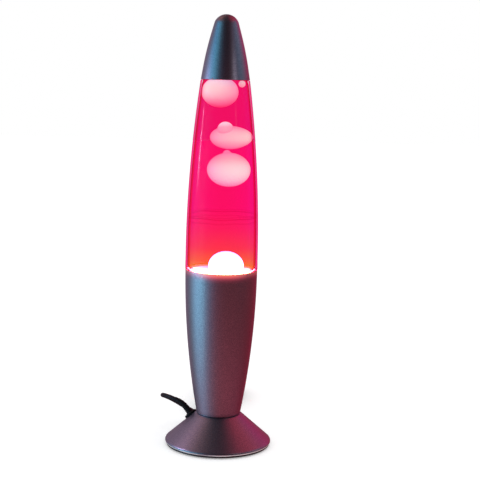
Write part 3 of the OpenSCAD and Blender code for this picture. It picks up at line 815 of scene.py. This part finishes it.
def wax(name, low_mm, high_mm, stops, strength):
    """Wax with a painted glow: emission in place of the bulb's light shining through it. The colour runs
    with the height, and the left is a little brighter, painted light from the left.
    """
    material, tree, shader = new_material(name)
    level = wandering_height(tree, 120, 2, 3 * MM)
    painted_glow_colour = ramp(tree, span(tree, level, low_mm * MM, high_mm * MM), stops)
    tree.links.new(mix_colour(tree, 0.8, painted_glow_colour, BLACK), shader.inputs["Base Color"])
    tree.links.new(painted_glow_colour, shader.inputs["Emission Color"])
    # painted light from the left: the glow is a little stronger on the left side
    lit = span(tree, axis(tree, "X"), -20 * MM, 25 * MM, strength * 1.08, strength * 0.88)
    tree.links.new(lit, shader.inputs["Emission Strength"])
    shader.inputs["Roughness"].default_value = 0.35
    return material


BLOB_COUNT = 64
BLOB_REACH = (0.5, 45)
HALVINGS = 22
BLOB_GLOW = 0.9


def blob_mesh(balls, centre, melt=4):
    """A soft shape round its centre, in millimetres.

    It is the skin of balls, each a (place, radii), that flow together, less so with a higher melt.
    """
    def strength(point):
        total = 0
        for place, radii in balls:
            offset = [(point[i] - place[i]) / radii[i] for i in range(3)]
            total += 1 / max(sum(c * c for c in offset), 1e-6) ** melt
        return total

    bm = bmesh.new()
    rings = []
    poles = (0, BLOB_COUNT // 2)
    for i in range(BLOB_COUNT // 2 + 1):
        polar = math.pi * i / (BLOB_COUNT // 2)
        ring = []
        for k in range(1 if i in poles else BLOB_COUNT):
            a = 2 * math.pi * k / BLOB_COUNT
            way = Vector((math.sin(polar) * math.cos(a), math.sin(polar) * math.sin(a), math.cos(polar)))
            inside, outside = BLOB_REACH
            for _ in range(HALVINGS):
                reach = (inside + outside) / 2
                if strength(Vector(centre) + way * reach) > 1:
                    inside = reach
                else:
                    outside = reach
            ring.append(bm.verts.new((Vector(centre) + way * inside) * MM))
        rings.append(ring)
    for first, second in zip(rings, rings[1:]):
        bridge(bm, first, second, BLOB_COUNT)
    return bm


def make_blob(name, node, balls, centre, stops, melt=4):
    bm = blob_mesh(balls, centre, melt)
    low = min(v.co.z for v in bm.verts) / MM
    high = max(v.co.z for v in bm.verts) / MM
    material = wax(name + "_wax", low, high, stops, BLOB_GLOW)
    place_piece(bm, name, material, "bottle", node, SOFT_ANGLE)


LARGE_AT = (4.9, -5.5, 267.5)
MIDDLE_AT = (6.6, -1.5, 296.5)
BEAD_AT = (1, -11, 304.5)
TOP_AT = (-4.7, 0, 338.5)
DROPLET_AT = (15.5, -7, 346.5)
DOME_AT = (4.3, -4, 175)


def near(at, dx, dy, dz):
    return (at[0] + dx, at[1] + dy, at[2] + dz)


def make_wax():
    # Each ramp paints light and shade from a blob's bottom to its top: darker red below, paler and
    # brighter above, with painted highlights over 1 at the tops of the bead and the top blob.
    make_blob("large_blob", "wax_blob_large", [
        (near(LARGE_AT, 0, 0, -0.8), (20.4, 20.4, 15.8)), (near(LARGE_AT, 1, 0, -3), (16.4, 16.4, 12.4)),
        (near(LARGE_AT, -2, 0, 14), (3.7, 3.7, 3.6)),
    ], LARGE_AT, [
        (0.0, [1, 0.5, 0.55, 1]), (0.1, [1, 0.78, 0.76, 1]), (0.25, [0.98, 0.94, 0.82, 1]),
        (0.65, [0.97, 0.9, 0.75, 1]), (0.85, [0.94, 0.8, 0.64, 1]), (1.0, [1, 1, 0.78, 1]),
    ], melt=10)
    make_blob("middle_blob", "wax_blob_middle", [
        (near(MIDDLE_AT, -1.5, 0, 0), (18.4, 18.4, 10.8)),
        (near(MIDDLE_AT, 6, 0, 0.6), (13.6, 13.6, 7.6)), (near(MIDDLE_AT, 15.6, 0, 0.5), (4.2, 4, 2)),
    ], MIDDLE_AT, [
        (0.0, [1, 0.28, 0.38, 1]), (0.2, [1, 0.6, 0.56, 1]), (0.5, [1, 0.88, 0.7, 1]),
        (1.0, [1, 0.98, 0.76, 1]),
    ])
    make_blob("bead", "wax_bead", [(BEAD_AT, (7.5, 7.5, 7.1))], BEAD_AT, [
        (0.0, [0.5, 0.16, 0.2, 1]), (0.12, [0.8, 0.4, 0.42, 1]), (0.4, [0.92, 0.6, 0.56, 1]),
        (0.8, [0.96, 0.78, 0.68, 1]), (1.0, [1, 1.5, 1.1, 1]),
    ])
    make_blob("top_blob", "wax_blob_top", [(TOP_AT, (17.2, 17.2, 14.2))], TOP_AT, [
        (0.0, [0.95, 0.08, 0.18, 1]), (0.15, [1, 0.28, 0.38, 1]), (0.4, [1, 0.66, 0.6, 1]),
        (0.7, [1, 0.9, 0.74, 1]), (1.0, [1, 1.3, 1.1, 1]),
    ])
    make_blob("droplet", "wax_droplet", [(DROPLET_AT, (3.2, 3.2, 3.1))], DROPLET_AT, [
        (0.0, [1, 0.4, 0.42, 1]), (1.0, [1, 0.8, 0.72, 1]),
    ])


POOL_LOW = 148
DOME_TOP = 188
POOL_GLOW = 8


def make_pool():
    """Molten wax over the bulb, with a dome swelling out of it."""
    wall = [p for p in glass_hollow(FILL_GAP) if p[1] < POOL_Z - 0.5]
    bm = bmesh.new()
    profile = [(0, HOLLOW_LOW + FILL_GAP)] + wall
    profile += [(FILL_R, POOL_Z - 0.1), (FILL_R - 0.8, POOL_Z), (0, POOL_Z)]
    lathe_into(bm, [(r * MM, z * MM) for r, z in profile])
    dome = finish_mesh(blob_mesh([(DOME_AT, (16.8, 16.8, 14))], DOME_AT), "dome")
    bm.from_mesh(dome)
    bpy.data.meshes.remove(dome)
    # painted glow: dim sides below, a very bright band at the pool's top surface and a white dome above
    stops = [
        (0.0, [0.15, 0.11, 0.07, 1]), (0.5, [0.3, 0.25, 0.18, 1]), (0.55, [9, 14, 5, 1]),
        (0.6, [9, 14, 5, 1]), (0.66, [1, 1, 0.93, 1]), (1.0, [1, 1, 0.97, 1]),
    ]
    material = wax("wax_glow", POOL_LOW, DOME_TOP, stops, POOL_GLOW)
    place_piece(bm, "wax_pool_glow", material, "bottle", "wax_pool", SOFT_ANGLE)


make_glass()
make_liquid()
make_wax()
make_pool()


# ---- finishes of the CAD nodes that stay ----

SILVER_TOP = 121
BULB_LIGHT = [1, 0.82, 0.55, 1]
BULB_GLOW = 1.5


def frosted_bulb():
    """Silvered up the reflector, frosted and lit at the top."""
    material, tree, shader = new_material("bulb_glass")
    top = span(tree, height(tree), SILVER_TOP * MM, (SILVER_TOP + 2) * MM)
    grain = noise(tree, 700, detail=3)
    silver = ramp(tree, grain, [(0.3, linear(196, 198, 202)), (0.7, linear(228, 229, 232))])
    tree.links.new(mix_colour(tree, top, silver, linear(255, 244, 222)), shader.inputs["Base Color"])
    tree.links.new(span(tree, top, 0, 1, 1, 0), shader.inputs["Metallic"])
    tree.links.new(span(tree, top, 0, 1, 0.18, 0.55), shader.inputs["Roughness"])
    tree.links.new(mix_colour(tree, top, BLACK, BULB_LIGHT), shader.inputs["Emission Color"])
    shader.inputs["Emission Strength"].default_value = BULB_GLOW
    return material


def make_finishes():
    def metal(name, dark, light, low, high):
        return grained(name, linear(*dark), linear(*light), low, high, 1200, metallic=1.0)

    def plastic(name, dark, light, low, high, scale=1400):
        return grained(name, linear(*dark), linear(*light), low, high, scale)

    return {
        "spun_steel": metal("spun_steel", (150, 150, 154), (190, 190, 194), 0.25, 0.4),
        "brass": metal("brass", (176, 138, 70), (214, 176, 104), 0.22, 0.38),
        "zinc_steel": metal("zinc_steel", (160, 162, 168), (200, 202, 206), 0.3, 0.45),
        "plated_pin": metal("plated_pin", (196, 196, 200), (224, 224, 228), 0.12, 0.22),
        "tungsten": metal("tungsten", (110, 106, 100), (140, 136, 130), 0.3, 0.4),
        "holder_plastic": plastic("holder_plastic", (22, 21, 21), (38, 37, 36), 0.4, 0.55),
        "base_plastic": plastic("base_plastic", (14, 14, 16), (30, 30, 33), 0.5, 0.65),
        "rubber_black": black_rubber("rubber_black"),
        "clamp_nylon": plastic("clamp_nylon", (196, 196, 186), (222, 222, 214), 0.4, 0.5),
        "lead_pvc": plastic("sheath_pvc", (3, 3, 4), (9, 9, 10), 0.4, 0.5),
        "switch_plastic": plastic("switch_plastic", (16, 16, 18), (32, 32, 35), 0.28, 0.42, 2400),
        "wire_brown": plastic("wire_brown", (92, 46, 22), (112, 60, 32), 0.3, 0.4),
        "wire_blue": plastic("wire_blue", (24, 70, 150), (38, 92, 180), 0.3, 0.4),
        "vitrite": plastic("vitrite", (10, 10, 12), (26, 26, 30), 0.08, 0.15),
        "liner_foam": plastic("liner_foam", (214, 212, 204), (236, 234, 228), 0.7, 0.85),
        "bulb_clear": frosted_bulb(),
    }


def dress_nodes():
    """Gives each CAD node that still shows the finish of its material slot."""
    finishes = make_finishes()
    for part in frame["record"]["subparts"]:
        node = frame["nodes"][part["node"]]
        if node.hide_render:
            continue
        finish = finishes[part["material_slot"]]
        if not node.material_slots:
            node.data.materials.append(finish)
        for place in node.material_slots:
            place.link = "OBJECT"
            place.material = finish


dress_nodes()
